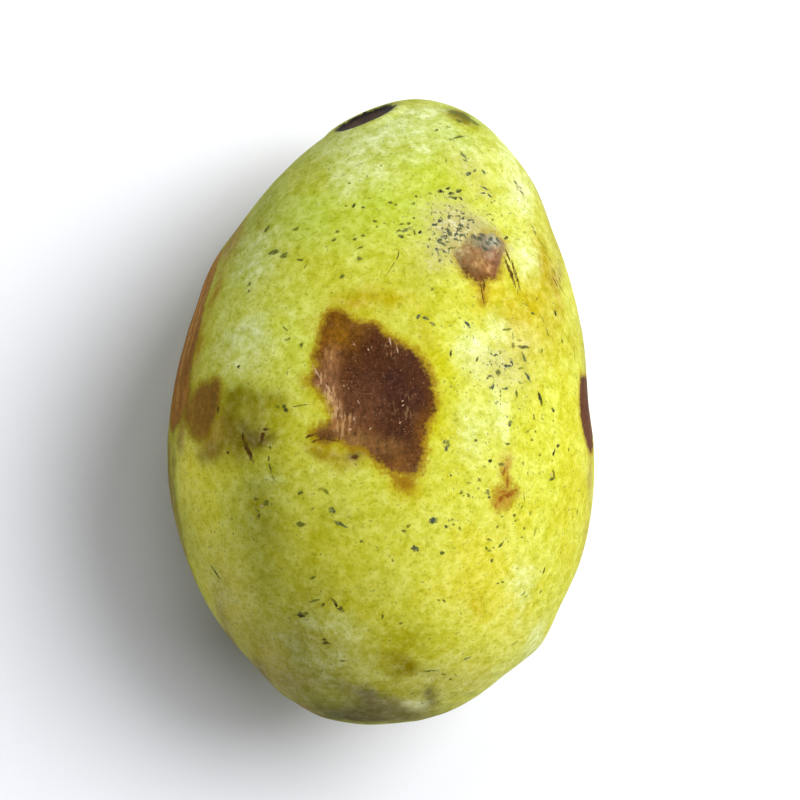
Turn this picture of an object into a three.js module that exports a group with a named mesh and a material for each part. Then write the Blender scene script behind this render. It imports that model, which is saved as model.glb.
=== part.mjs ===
// A pawpaw fruit (Asimina triloba), whole and ripe, lying on its side. It grew as one piece, so it is one
// solid: an egg that tapers to the stem end, bends a little to one side, and carries the low swellings,
// pressed hollows and shallow stem scar of a real fruit. Millimetres, +Z up, stem end towards +Y, resting
// on Z = 0 on the spot where its soft flesh has flattened.
import * as THREE from 'three';

// The egg, before anything grows out of it or is pressed into it.
const LENGTH = 99.6; // stem end to blossom end
const WIDTH = 67; // side to side
const THICKNESS = 62.6; // top to bottom, a little less than the width
const TAPER = [-0.135, -0.059, 0.045]; // change of girth with u, u^2 and u^3, where u runs -1 to 1 along the axis
const BEND = [3.16, 2.39]; // sideways drift of the middle line with u^2 and u^3

// How it lies.
const LEAN = THREE.MathUtils.degToRad(1.6); // the stem end leans towards +X, seen from above
const DIP = THREE.MathUtils.degToRad(5); // the light stem end hangs below level, where the egg balances
const FOOT_DEPTH = 0.8; // how far the flesh gives where the fruit rests

// Low swellings, and hollows where the rise is negative. Each fades with distance over its reach.
const SWELLINGS = [
  { where: 'pale welt beside the blossom end', at: [26.4, -36.5, 0], rise: 1.15, reach: 3.6 },
  { where: 'heel of the blossom end', at: [-7, -49.5, 0], rise: 0.2, reach: 4 },
  { where: 'left side of the heel', at: [-14, -46.5, 0], rise: 0.3, reach: 3.5 },
  { where: 'hollow right of the heel', at: [3.5, -50.2, 0], rise: -0.4, reach: 4 },
  { where: 'hollow left of the heel', at: [-19.4, -41.5, 0], rise: -0.4, reach: 4 },
  { where: 'full lower flank', at: [31.8, -23.2, 0], rise: 0.55, reach: 6 },
  { where: 'full right flank', at: [33.5, -10, 0], rise: 0.2, reach: 6 },
  { where: 'bruise on the right flank', at: [33, 3, 0], rise: -0.45, reach: 4.5 },
  { where: 'full upper right flank', at: [31.5, 14, 0], rise: 0.25, reach: 5 },
  { where: 'under the right shoulder', at: [29.5, 24, 0], rise: 0.4, reach: 5 },
  { where: 'right shoulder', at: [24, 36, 0], rise: 0.65, reach: 4 },
  { where: 'hollow right of the crown', at: [10, 48, 0], rise: -0.2, reach: 4 },
  { where: 'crown of the stem end', at: [3.4, 49.9, 0], rise: 0.4, reach: 3.5 },
  { where: 'hollow above the left shoulder', at: [-22.4, 29.6, 0], rise: -0.15, reach: 4 },
  { where: 'left shoulder', at: [-27.8, 22.4, 0], rise: 0.7, reach: 3.5 },
  { where: 'bruise on the left flank', at: [-33.3, 2.6, 0], rise: -0.35, reach: 5 },
  { where: 'large bruise on top', at: [-1, 2, 31], rise: -0.35, reach: 8 },
  { where: 'small bruise on top', at: [16, 24, 23], rise: -0.3, reach: 4.5 },
  { where: 'seed swelling on the underside', at: [-17, -12, -25], rise: 0.5, reach: 9 },
  { where: 'seed swelling near the stem end', at: [13, 22, -20], rise: 0.4, reach: 7 },
  { where: 'pressed hollow on the underside', at: [12, -30, -22], rise: -0.5, reach: 8 },
];

// The scar where the stalk came away: a flat facet, a little dished, with a low rim.
const SCAR = {
  towards: new THREE.Vector3(-0.298, 0.925, 0.225).normalize(),
  sink: 0.5, // how far the facet lies below the egg at its middle
  radius: 5.6,
  blend: 2, // width over which the skin rounds down to the facet
  dish: 0.35,
  rimHeight: 0.12,
  rimWidth: 0.8,
};

const ROUND_SEGMENTS = 72; // around the axis
const LONG_SEGMENTS = 50; // from end to end

// The skin of the plain egg above a point of the unit ball whose pole, +Y, is the stem end.
function eggPoint(ball) {
  const u = ball.y;
  const girth = 1 + TAPER[0] * u + TAPER[1] * u ** 2 + TAPER[2] * u ** 3;
  const drift = BEND[0] * u ** 2 + BEND[1] * u ** 3;
  return new THREE.Vector3(
    (WIDTH / 2) * ball.x * girth + drift,
    (LENGTH / 2) * u,
    (THICKNESS / 2) * ball.z * girth,
  );
}

// The way out of the flesh at the same point.
function outward(ball) {
  return new THREE.Vector3(ball.x / WIDTH, ball.y / LENGTH, ball.z / THICKNESS).normalize();
}

// How far all swellings and hollows together lift the skin at a point.
function swellingAt(point) {
  return SWELLINGS.reduce((sum, { at, rise, reach }) => {
    const away = point.distanceTo(new THREE.Vector3(...at));
    return sum + rise * Math.exp(-(away ** 2) / (2 * reach ** 2));
  }, 0);
}

// The stem scar: presses the skin, already lifted by the swellings, to the plane of the facet, and adds the
// dish inside it and the rim round it. Skin that faces away from the scar is left alone.
function pressToScar(point, way, lift) {
  const facing = outward(SCAR.towards);
  const straight = way.dot(facing);
  if (straight < 0.2) return lift;
  const fromCentre = point.clone().sub(eggPoint(SCAR.towards)).addScaledVector(facing, SCAR.sink);
  const height = fromCentre.dot(facing);
  const away = fromCentre.addScaledVector(facing, -height).length();
  const share = 1 - THREE.MathUtils.smoothstep(away, SCAR.radius, SCAR.radius + SCAR.blend);
  const dish = SCAR.dish * Math.max(0, 1 - (away / (0.85 * SCAR.radius)) ** 2);
  const rim = SCAR.rimHeight * Math.exp(-(((away - SCAR.radius) / SCAR.rimWidth) ** 2));
  return THREE.MathUtils.lerp(lift, -height / straight, share) - dish + rim;
}

// The whole fruit's skin, as a ball whose points are moved out to the fruit.
function fruitGeometry() {
  const geometry = new THREE.SphereGeometry(1, ROUND_SEGMENTS, LONG_SEGMENTS);
  const position = geometry.getAttribute('position');
  const ball = new THREE.Vector3();
  for (let i = 0; i < position.count; i += 1) {
    ball.fromBufferAttribute(position, i);
    const point = eggPoint(ball);
    const way = outward(ball);
    point.addScaledVector(way, pressToScar(point, way, swellingAt(point)));
    position.setXYZ(i, point.x, point.y, point.z);
  }
  return geometry;
}

// Turns the fruit to how it lies, flattens its foot, and puts the origin under its middle.
function layDown(geometry) {
  geometry.rotateZ(-LEAN);
  geometry.rotateX(-DIP);
  geometry.computeBoundingBox();
  const floor = geometry.boundingBox.min.z + FOOT_DEPTH;
  const position = geometry.getAttribute('position');
  for (let i = 0; i < position.count; i += 1) {
    position.setZ(i, Math.max(position.getZ(i), floor));
  }
  geometry.computeBoundingBox();
  const middle = geometry.boundingBox.getCenter(new THREE.Vector3());
  geometry.translate(-middle.x, -middle.y, -floor);
  geometry.computeVertexNormals();
  return geometry;
}

const ripeSkin = new THREE.MeshStandardMaterial({ color: '#b1b344', roughness: 0.6, metalness: 0 });

const fruit = new THREE.Mesh(layDown(fruitGeometry()), ripeSkin);
fruit.name = 'pawpaw_fruit';

const pawpaw = new THREE.Group();
pawpaw.add(fruit);

export default pawpaw;
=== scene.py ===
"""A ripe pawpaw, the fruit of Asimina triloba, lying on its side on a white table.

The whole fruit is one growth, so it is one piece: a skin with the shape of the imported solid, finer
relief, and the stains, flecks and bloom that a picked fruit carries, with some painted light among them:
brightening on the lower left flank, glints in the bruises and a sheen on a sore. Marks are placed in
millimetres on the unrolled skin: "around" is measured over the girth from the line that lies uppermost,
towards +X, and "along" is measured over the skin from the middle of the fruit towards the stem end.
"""

import itertools

import bpy
import numpy as np
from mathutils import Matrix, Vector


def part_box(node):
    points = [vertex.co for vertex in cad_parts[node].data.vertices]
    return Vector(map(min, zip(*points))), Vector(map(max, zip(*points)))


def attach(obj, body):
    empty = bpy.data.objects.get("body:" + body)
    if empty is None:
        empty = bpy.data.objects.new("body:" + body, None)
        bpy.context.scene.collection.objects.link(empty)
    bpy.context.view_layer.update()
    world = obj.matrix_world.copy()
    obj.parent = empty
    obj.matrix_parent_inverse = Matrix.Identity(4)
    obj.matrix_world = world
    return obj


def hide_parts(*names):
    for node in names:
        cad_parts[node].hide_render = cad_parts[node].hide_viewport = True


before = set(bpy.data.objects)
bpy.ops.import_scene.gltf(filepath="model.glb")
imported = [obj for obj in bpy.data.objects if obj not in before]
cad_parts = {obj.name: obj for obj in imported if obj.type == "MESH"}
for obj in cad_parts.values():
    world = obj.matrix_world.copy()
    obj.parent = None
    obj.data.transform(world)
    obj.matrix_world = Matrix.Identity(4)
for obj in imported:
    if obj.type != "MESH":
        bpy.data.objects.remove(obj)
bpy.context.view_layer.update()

# -----------------------------------------------------------------------------
# The viewpoint: straight overhead with a long lens, a little right of the fruit's middle, the stem end at
# the top of the view.
VIEW_AIM = (0.0030, 0.0015)
VIEW_HEIGHT = 0.4295
VIEW_LENS = 113.0

viewpoint = bpy.data.cameras.new("viewpoint")
viewpoint.lens = VIEW_LENS
viewpoint.clip_start = 0.01
overhead = bpy.data.objects.new("viewpoint", viewpoint)
overhead.location = (*VIEW_AIM, VIEW_HEIGHT)
bpy.context.scene.collection.objects.link(overhead)
bpy.context.scene.camera = overhead

# -----------------------------------------------------------------------------
# The fruit's form: an egg that tapers to the stem end and bends a little to one side, with low swellings,
# pressed hollows and a stem scar. It grew this way, and its soft flesh has flattened where it rests.
MM = 0.001
ROUND_STEPS = 384
LONG_STEPS = 256

EGG_SIZE = np.array([67.0, 99.6, 62.6]) * MM
TAPER = (1.0, -0.135, -0.059, 0.045)
BEND = np.array([0.0, 0.0, 3.16, 2.39]) * MM
LEAN = np.radians(-1.6)
DIP = np.radians(-5.0)
FOOT_DEPTH = 0.8 * MM
ZERO_LINE = 0.25 * MM  # marks are measured along from a line this far on the blossom side of the middle

# place, rise and reach of each swelling or hollow, in millimetres
SWELLINGS = (
    (26.4, -36.5, 0, 1.15, 3.6), (-7, -49.5, 0, 0.2, 4), (-14, -46.5, 0, 0.3, 3.5),
    (3.5, -50.2, 0, -0.4, 4), (-19.4, -41.5, 0, -0.4, 4), (31.8, -23.2, 0, 0.55, 6),
    (33.5, -10, 0, 0.2, 6), (33, 3, 0, -0.45, 4.5), (31.5, 14, 0, 0.25, 5), (29.5, 24, 0, 0.4, 5),
    (24, 36, 0, 0.65, 4), (10, 48, 0, -0.2, 4), (3.4, 49.9, 0, 0.4, 3.5), (-22.4, 29.6, 0, -0.15, 4),
    (-27.8, 22.4, 0, 0.7, 3.5), (-33.3, 2.6, 0, -0.35, 5), (-1, 2, 31, -0.35, 8), (16, 24, 23, -0.3, 4.5),
    (-17, -12, -25, 0.5, 9), (13, 22, -20, 0.4, 7), (12, -30, -22, -0.5, 8),
)

# the stem scar: a flat facet that the skin rounds down to, a little dished, with a low rim
SCAR_TOWARDS = np.array([-0.298, 0.925, 0.225])
SCAR_SINK = 0.5 * MM
SCAR_RADIUS = 5.6 * MM
SCAR_BLEND = 2 * MM
SCAR_DISH = 0.35 * MM
SCAR_DISH_RADIUS = 0.85 * SCAR_RADIUS
SCAR_RIM_HEIGHT = 0.12 * MM
SCAR_RIM_WIDTH = 0.8 * MM
LEAST_FACING = 0.2  # skin that faces less towards the scar than this is left alone, as out of its reach
OUT_OF_REACH = 1.0


def smooth_step(value, start, end):
    """0 before start, 1 after end, and in between the curve 3t^2 - 2t^3, level at both ends."""
    part = np.clip((value - start) / (end - start), 0, 1)
    return part * part * (3 - 2 * part)


def polynomial(value, terms):
    """terms[0] + terms[1] * value + terms[2] * value^2 and so on."""
    return sum(term * value**power for power, term in enumerate(terms))


def egg(ball):
    """The plain egg above points of the unit ball: the ball stretched to the fruit's size, its girth scaled
    by the taper and its middle line pushed sideways by the bend, both by how near the stem end it is."""
    u = ball[:, 1:2]
    drift = np.concatenate([polynomial(u, BEND), np.zeros_like(u), np.zeros_like(u)], axis=1)
    girth = polynomial(u, TAPER)
    stretch = np.concatenate([girth, np.ones_like(u), girth], axis=1) * EGG_SIZE / 2
    return ball * stretch + drift, drift


def turned(points, angle, first, second):
    """Points turned by angle in the plane of two axes."""
    result = points.copy()
    result[:, first] = points[:, first] * np.cos(angle) - points[:, second] * np.sin(angle)
    result[:, second] = points[:, first] * np.sin(angle) + points[:, second] * np.cos(angle)
    return result


# large odd numbers that scramble a corner's cell numbers into a random height, and how far they are shifted
CELL_PRIMES = (73856093, 19349663, 83492791)
SEED_PRIME = 2654435761
SCRAMBLES = ((15, 2246822519), (13, 3266489917))
SEED_SHIFT = 7.13


def lattice_noise(points, cell, seed):
    """Soft random heights from -1 to 1: each corner of a lattice of cubes, cell wide, has a random height,
    and a point blends the eight corners around it by the smooth step of its place between them."""
    place = points / cell + seed * SEED_SHIFT
    corner = np.floor(place).astype(np.int64)
    part = place - corner
    part = part * part * (3 - 2 * part)
    total = np.zeros(len(points))
    for step in itertools.product((0, 1), repeat=3):
        key = ((corner + step) * CELL_PRIMES).sum(axis=1) + seed * SEED_PRIME
        for shift, prime in SCRAMBLES:
            key = ((key ^ (key >> shift)) * prime) & 0xFFFFFFFF
        height = ((key ^ (key >> 16)) & 0xFFFF) / 32767.5 - 1
        total += height * np.prod(np.where(step, part, 1 - part), axis=1)
    return total


def unit_ball(round_steps, long_steps):
    """Points of the unit ball, ring by ring from the stem pole at +Y to the blossom pole at -Y. Each ring
    starts at the top and turns towards +X. The two poles are single points, first and last."""
    polar = np.pi * np.arange(1, long_steps)[:, None] / long_steps
    turn = 2 * np.pi * np.arange(round_steps)[None, :] / round_steps
    height = np.cos(polar) * np.ones_like(turn)
    ring = np.stack([np.sin(polar) * np.sin(turn), height, np.sin(polar) * np.cos(turn)], axis=-1)
    return np.concatenate([[[0, 1, 0]], ring.reshape(-1, 3), [[0, -1, 0]]])


def ring_faces(round_steps, long_steps):
    """Four-sided faces between neighbouring rings, and a fan of triangles at each pole, facing outwards."""
    ring = np.arange(round_steps)
    after = (ring + 1) % round_steps
    first = 1 + round_steps * np.arange(long_steps - 2)[:, None]
    second = first + round_steps
    quads = np.stack([first + ring, second + ring, second + after, first + after], axis=-1)
    last = 1 + round_steps * (long_steps - 2)
    stem_fan = np.stack([np.zeros_like(ring), 1 + ring, 1 + after], axis=-1)
    blossom_fan = np.stack([last + ring, np.full_like(ring, last + round_steps), last + after], axis=-1)
    return quads.reshape(-1, 4).tolist() + stem_fan.tolist() + blossom_fan.tolist()


ball = unit_ball(ROUND_STEPS, LONG_STEPS)
plain, middle_line = egg(ball)
outward = ball / EGG_SIZE
outward /= np.linalg.norm(outward, axis=1, keepdims=True)

lift = np.zeros(len(plain))
for *place, rise, reach in SWELLINGS:
    away = np.linalg.norm(plain - np.array(place) * MM, axis=1)
    lift += rise * MM * np.exp(-(away**2) / (2 * (reach * MM) ** 2))

scar_ball = (SCAR_TOWARDS / np.linalg.norm(SCAR_TOWARDS))[None, :]
scar_facing = (scar_ball / EGG_SIZE)[0]
scar_facing /= np.linalg.norm(scar_facing)
from_facet = plain - egg(scar_ball)[0][0] + SCAR_SINK * scar_facing
above_facet = from_facet @ scar_facing
straight = outward @ scar_facing
from_scar = np.linalg.norm(from_facet - above_facet[:, None] * scar_facing, axis=1)
from_scar[straight < LEAST_FACING] = OUT_OF_REACH
pressed = 1 - smooth_step(from_scar, SCAR_RADIUS, SCAR_RADIUS + SCAR_BLEND)
lift = lift * (1 - pressed) - pressed * above_facet / np.maximum(straight, LEAST_FACING)
lift -= SCAR_DISH * np.maximum(0, 1 - (from_scar / SCAR_DISH_RADIUS) ** 2)
lift += SCAR_RIM_HEIGHT * np.exp(-(((from_scar - SCAR_RADIUS) / SCAR_RIM_WIDTH) ** 2))

# where each point is on the unrolled skin
radial = plain - middle_line
around = np.arctan2(ball[:, 0], ball[:, 2]) * np.hypot(radial[:, 0], radial[:, 2])
top_line = np.concatenate([plain[:1], plain[1:-1:ROUND_STEPS], plain[-1:]])
over_top = np.concatenate([[0], np.cumsum(np.linalg.norm(np.diff(top_line, axis=0), axis=1))])
along = over_top[-1] / 2 - over_top + ZERO_LINE
along = np.concatenate([along[:1], np.repeat(along[1:-1], ROUND_STEPS), along[-1:]])
around_mm, along_mm = around / MM, along / MM

# -----------------------------------------------------------------------------
# The bruises and sores: places where the skin was pressed, split or rubbed, and has turned brown and dry
# and sunk a little. Each has an outline on the unrolled skin, and soft spots of lighter and darker brown
# inside it. The stem scar, the dry and almost black disc that the stalk came away from, is one of them.


def linear(hex_colour):
    """An sRGB hex colour as linear red, green and blue."""
    parts = np.array([int(hex_colour[i : i + 2], 16) for i in (1, 3, 5)]) / 255
    return np.where(parts <= 0.04045, parts / 12.92, ((parts + 0.055) / 1.055) ** 2.4)


def layered_noise(layers, first_seed):
    """The sum of lattice noises, each of a cell size and a height, with one seed after another."""
    seeds = itertools.count(first_seed)
    return sum(height * lattice_noise(plain, cell * MM, next(seeds)) for cell, height in layers)


# how far the edges of soft spots wander around and along: cell size and height in millimetres
WANDER = ((3.6, 0.9), (1.5, 0.5))
wander_around, wander_along = (layered_noise(WANDER, seed) for seed in (71, 81))


def soft_spot(across, up, length, width, tilt=0):
    """1 at a place around and along the unrolled skin, fading as exp(-r^2), where r is 1 at the edge of an
    ellipse whose length is turned by tilt degrees from around towards along. Its edge wanders a little."""
    right = around_mm + wander_around - across
    above = along_mm + wander_along - up
    angle = np.radians(tilt)
    length_part = (right * np.cos(angle) + above * np.sin(angle)) / (length / 2)
    width_part = (above * np.cos(angle) - right * np.sin(angle)) / (width / 2)
    return np.exp(-(length_part**2) - width_part**2)


def wash(colours, colour, amount):
    """Colours blended towards one colour by an amount from 0 to 1 at each point."""
    share = np.clip(amount, 0, 1)[:, None]
    return colours * (1 - share) + linear(colour) * share


def washed_by_spots(colours, spots, unevenness):
    """Colours washed by soft spots, one over the other, each by its strength times an unevenness."""
    for colour, strength, *spot in spots:
        colours = wash(colours, colour, strength * unevenness * soft_spot(*spot))
    return colours


def strongest(spots, least, unevenness=1):
    """The most that any of some soft spots reaches at each point, and nowhere under the least."""
    result = np.full(len(plain), least)
    for strength, *spot in spots:
        result = np.maximum(result, strength * unevenness * soft_spot(*spot))
    return result


FAR = 8.0  # depths are not followed further than this from an outline, in millimetres
TINY = 1e-9


def rounded(outline):
    """A closed outline with its corners cut at a quarter and three quarters of each side, twice over."""
    points = np.array(outline, float)
    for _ in range(2):
        after = np.roll(points, -1, axis=0)
        cuts = [0.75 * points + 0.25 * after, 0.25 * points + 0.75 * after]
        points = np.stack(cuts, axis=1).reshape(-1, 2)
    return points


def depth_inside(outline):
    """How far each skin point lies inside a closed outline on the unrolled skin, in millimetres, negative
    outside: the distance to the nearest side, its sign from how often a level ray crosses the outline."""
    start = rounded(outline)
    side = np.roll(start, -1, axis=0) - start
    spot = np.stack([around_mm, along_mm], axis=1)
    low_corner, high_corner = start.min(axis=0) - FAR, start.max(axis=0) + FAR
    near = np.flatnonzero(((spot > low_corner) & (spot < high_corner)).all(axis=1))
    offset = spot[near, None, :] - start[None]
    share = np.clip((offset * side).sum(axis=2) / (side**2).sum(axis=1), 0, 1)
    distance = np.linalg.norm(offset - share[..., None] * side, axis=2).min(axis=1)
    crossed = (start[:, 1] > spot[near, 1:]) != (start[:, 1] + side[:, 1] > spot[near, 1:])
    climb = np.where(side[:, 1] == 0, TINY, side[:, 1])
    crossing = start[:, 0] + side[:, 0] * (spot[near, 1:] - start[:, 1]) / climb
    inside = (crossed & (spot[near, :1] < crossing)).sum(axis=1) % 2 == 1
    depth = np.full(len(spot), -FAR)
    depth[near] = np.where(inside, distance, -distance)
    return depth


# outline, colour, strength of the mustard fringe around it, how fully it covers the skin, and the soft
# spots inside: colour, strength, place around and along, length, width, and tilt where it has one
BRUISES = (
    (
        # large bruise on top
        ((-8.1, 13.3), (-6.9, 14.3), (-5.7, 13.6), (-4.8, 12.2), (-3.8, 11.6), (-2.4, 12.2), (-0.9, 11.7),
         (0.4, 10.2), (2.6, 8.9), (4.8, 7.8), (6.4, 5.9), (7.3, 3.5), (7.8, 0.6), (7.7, -1.2), (6.9, -3.2),
         (6.4, -5.6), (6.1, -8), (6, -9.6), (5.2, -10.8), (3.6, -10.6), (2.2, -10.6), (0.7, -10),
         (-0.2, -8.6), (-1.6, -7.4), (-4.2, -6.3), (-6, -6.1), (-7.6, -6.2), (-9.1, -5.4), (-9, -4.2),
         (-7.4, -3.6), (-6.4, -2.6), (-6.7, -0.6), (-7.9, 1), (-9.2, 2), (-10.1, 3), (-9.3, 4.8),
         (-9.2, 7.4), (-8.8, 9.3), (-8.6, 11.2)),
        "#4c2b12", 0.5, 1,
        ("#402419", 0.95, 1.2, 3, 11, 12), ("#3a2016", 0.85, 4, -2, 6, 9), ("#432412", 0.8, -2, 8.5, 8, 4),
        ("#7b520d", 1, -6.8, 10.8, 6, 7), ("#653b05", 0.8, -7.4, 13.4, 2.4, 1.4),
        ("#714e1d", 0.9, -2.4, 12.2, 6, 2), ("#62431d", 0.7, 1.2, 10, 4.4, 1.4, -40),
        ("#8f6339", 0.9, -7.2, 5.8, 3, 4.4), ("#71470d", 1, -9.2, 8.4, 1.8, 5.6),
        ("#744d19", 1, -9.8, 4, 1.4, 3.4), ("#926543", 0.9, -7.8, 2.8, 2.8, 4),
        ("#956941", 0.9, -6.4, -0.8, 2.8, 3.6), ("#986a3a", 0.9, -5.4, -3.8, 4.2, 2.6),
        ("#69432b", 0.6, -3, -2, 5, 7, 40), ("#5a3823", 0.65, -2.2, 1.6, 5, 5),
        ("#84602a", 0.9, -8.4, -4.4, 3, 1.8), ("#472505", 0.8, -7.4, -5.6, 4, 0.9, -8),
        ("#886335", 0.9, -3.6, -6.4, 7, 2.2), ("#6f4d28", 0.9, 1, -7.6, 7, 3),
        ("#6f481d", 0.9, 3.8, -9.4, 5, 2.8), ("#6d4614", 0.9, 6.6, -6, 2, 7),
        ("#5d370d", 0.8, 7.3, -0.2, 1.2, 8), ("#453a2e", 0.95, 5.3, -9.8, 1.3, 1.3),
    ),
    (
        # rusty tip below the large bruise
        ((2.7, -11.3), (3.6, -10.9), (4.6, -11.4), (4.7, -12.4), (3.9, -13), (2.9, -12.6)),
        "#86610b", 0.5, 0.7,
    ),
    (
        # sore near the stem end
        ((9, 24.4), (9.8, 22.2), (11.2, 20.6), (12.5, 19.5), (13.6, 19.1), (14.5, 19), (15.6, 19.7),
         (16.9, 20.3), (17.4, 21.8), (18.1, 23.9), (18.4, 26), (17.5, 27.5), (15.8, 28.1), (13.8, 28.2),
         (12, 27.6), (10.7, 26.3), (9.8, 25.1)),
        "#6c4028", 0.3, 0.96,
        ("#4a240f", 1, 11.4, 22.6, 5.4, 2.2, -60), ("#4a240d", 0.9, 12.6, 20.6, 3, 1.8, -40),
        ("#582c18", 0.9, 10, 23.6, 3.6, 2.2, -60), ("#926c40", 0.9, 13.8, 22.8, 2.6, 3.4),
        ("#a08a74", 0.8, 15.4, 24.6, 1.6, 1.4), ("#5a2c1c", 0.8, 11.6, 23.2, 2, 1.6),
        ("#9a6e3e", 0.9, 15.8, 21.2, 1.4, 1.8), ("#7a4a33", 0.8, 12.2, 24.4, 3.4, 2.4),
        # slate-grey and pale grey across the sore's top: partly its own colour, partly a painted sheen
        ("#765040", 0.85, 17, 23.6, 2, 3.4), ("#625b54", 1, 14.4, 26.5, 6.4, 1.6, -8),
        ("#9c9c88", 0.9, 15.9, 26.6, 2.6, 1.6), ("#4e2b0c", 0.9, 14.4, 19.8, 4, 1.2),
    ),
    (
        # rust run below the sore
        ((13.8, 19.4), (15.2, 19.4), (14.9, 17.6), (14.7, 15.8), (14.3, 15.8), (14.2, 17.6)),
        "#845b0e", 0.3, 0.8,
    ),
    (
        # rust spot
        ((17.3, -15), (17.2, -13.6), (17.6, -12.4), (18.6, -12), (19.3, -12.3), (19.4, -10.8),
         (19.7, -10.8), (20, -12.2), (21.3, -11.9), (21.4, -12.8), (20.2, -13.8), (18.9, -14.7)),
        "#ac8030", 0.4, 0.48,
        ("#7a4412", 1, 20, -12.9, 2.8, 1.3, 25), ("#925912", 0.8, 18, -14, 1.8, 1.4),
    ),
    (
        # bruise on the left flank
        ((-28.4, 2.8), (-27.3, 3.9), (-26.5, 3), (-26.2, 1.2), (-26.3, -1.4), (-27.8, -3.2), (-28.8, -4.6),
         (-31, -5.6), (-33.4, -4.8), (-35.6, -3), (-36, -0.8), (-34.6, 0.9), (-32, 2.4), (-29.8, 3.2)),
        "#895a24", 0.4, 0.75,
        ("#744a1d", 0.85, -28.2, 1.2, 4.2, 4.6), ("#7c501b", 0.7, -29.4, -1.6, 5, 4),
        ("#946f1f", 0.9, -32.6, -4.2, 6, 3), ("#9e752d", 0.8, -34.2, 0, 3, 4, 40),
    ),
    (
        # browned left side
        ((-37.2, 26), (-35.4, 21), (-35.5, 16.5), (-34.9, 13), (-35.1, 10), (-35.6, 7), (-35.8, 4.2),
         (-34.8, 2), (-35.8, 0.6), (-36.8, -1), (-38.6, -2), (-40.6, -3), (-42.4, -3.8), (-43.6, -3),
         (-46.6, -1.6), (-48.6, 2), (-47.4, 6), (-50.2, 10.6), (-49.4, 16.4), (-45, 19.6), (-44.4, 24),
         (-40, 27.6)),
        "#9c6213", 0.5, 0.8,
        ("#bd872e", 0.9, -38, 25, 8, 6), ("#b27724", 0.8, -36.6, 17, 3, 8, -6),
        ("#865010", 0.95, -36, 11, 2.2, 10, 3), ("#c88930", 0.9, -38, 13, 1, 16, 5),
        ("#7f4a10", 0.9, -39.4, 12, 1.2, 14, 5), ("#d49437", 0.9, -41, 15, 1.4, 18, 6),
        ("#7f4b0f", 0.95, -37, 5.6, 2.6, 5), ("#b48028", 0.9, -35.6, 2.6, 2, 3.4),
        ("#834d10", 0.9, -39.4, 3, 1.2, 9, 4), ("#bb872a", 0.9, -37.4, 0.2, 1.6, 3.4),
        ("#d09237", 0.9, -41.4, 5, 1.6, 12, 6), ("#7a4c0b", 0.95, -40.2, -3.4, 2, 5, -12),
        ("#8c5411", 0.9, -44, 7, 4, 8), ("#7a4a15", 0.9, -46, 15, 5, 7),
    ),
    (
        # bruise on the right flank
        ((39.6, 6.8), (38.4, 4.6), (38.1, 1.8), (38.5, -0.6), (40, -2.4), (41.8, -4.2), (44, -5.2),
         (47.6, -4.6), (50, -1), (51, 2.6), (49, 5.8), (45, 7.2), (42, 7)),
        "#522e14", 0.3, 1,
        ("#492611", 0.7, 42.5, 1.5, 4, 6), ("#664026", 0.7, 48, 1, 5, 8),
    ),
    (
        # bruise on the underside
        ((74, 12), (79, 14), (83, 11), (85, 5), (82, 0), (78, -2), (75, 1), (71, 2), (70, 7)),
        "#653f20", 0.5, 1,
        ("#472817", 0.8, 78, 7, 8, 8, 20), ("#835726", 0.7, 82, 2, 5, 4),
    ),
    (
        # rubbed patch on the underside
        ((-78, -20), (-74, -22), (-70, -27), (-72, -33), (-77, -34), (-80, -29), (-82, -24)),
        "#835b28", 0.4, 0.85,
        ("#65411c", 0.7, -76, -27, 6, 8),
    ),
)

BETWEEN_BRUISES = "#5a3a20"
STREAK_WIDTH = 1.1 * MM
STREAK_STRETCH = np.array([1, 4, 1])
STREAK_STRENGTH = 0.3
BLOTCH_WIDTH = 1.6 * MM
BLOTCH_STRENGTH = 0.4

# the scar's own colours, its fibres brown from a first to a second depth inside its edge, in millimetres
SCAR_EDGE = 5.3
SCAR_BLACK = "#0b0806"
SCAR_BROWN = "#4e3524"
SCAR_BROWN_DEPTHS = (0.6, 2.6)
SCAR_BROWN_STRENGTH = 0.75
SCAR_FRINGE = 0.1


def plain_colour(colour):
    """One colour at every point of the skin."""
    return np.tile(linear(colour), (len(plain), 1))


streaky = lattice_noise(plain / STREAK_STRETCH, STREAK_WIDTH, 52)
blotchy = 1 + BLOTCH_STRENGTH * lattice_noise(plain, BLOTCH_WIDTH, 51) + STREAK_STRENGTH * streaky
scar_depth = SCAR_EDGE - from_scar / MM
scar_fibres = SCAR_BROWN_STRENGTH * smooth_step(scar_depth, *SCAR_BROWN_DEPTHS) * (0.75 + 0.5 * streaky)
scar = (scar_depth, wash(plain_colour(SCAR_BLACK), SCAR_BROWN, scar_fibres), SCAR_FRINGE, 1.0)
browned = [
    (depth_inside(outline), washed_by_spots(plain_colour(colour), spots, blotchy), fringe, cover)
    for outline, colour, fringe, cover, *spots in BRUISES
]
bruise_depth = np.full(len(plain), -FAR)
bruise_colours = plain_colour(BETWEEN_BRUISES)
bruise_fringe = np.zeros(len(plain))
bruise_cover = np.ones(len(plain))
for depth, colours, fringe, cover in (*browned, scar):
    deeper = depth > bruise_depth
    bruise_colours[deeper] = colours[deeper]
    bruise_fringe[deeper] = fringe
    bruise_cover[deeper] = cover
    bruise_depth[deeper] = depth[deeper]

# a bruise sinks from just outside its edge to well inside it
BRUISE_SINK = 0.16 * MM
SINK_DEPTHS = (-0.6, 1.6)
lift -= BRUISE_SINK * smooth_step(bruise_depth, *SINK_DEPTHS)

# -----------------------------------------------------------------------------
# The skin's own surface: broad unevenness, dimples and grain over the whole fruit, and dry wrinkles that
# run round the blossom end, laid down with the foot pressed flat.

# cell size in millimetres, and height
RELIEF = ((16, 0.09 * MM), (7, 0.06 * MM), (3.2, 0.035 * MM), (1.5, 0.018 * MM))
relief = layered_noise(RELIEF, 0)

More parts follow.
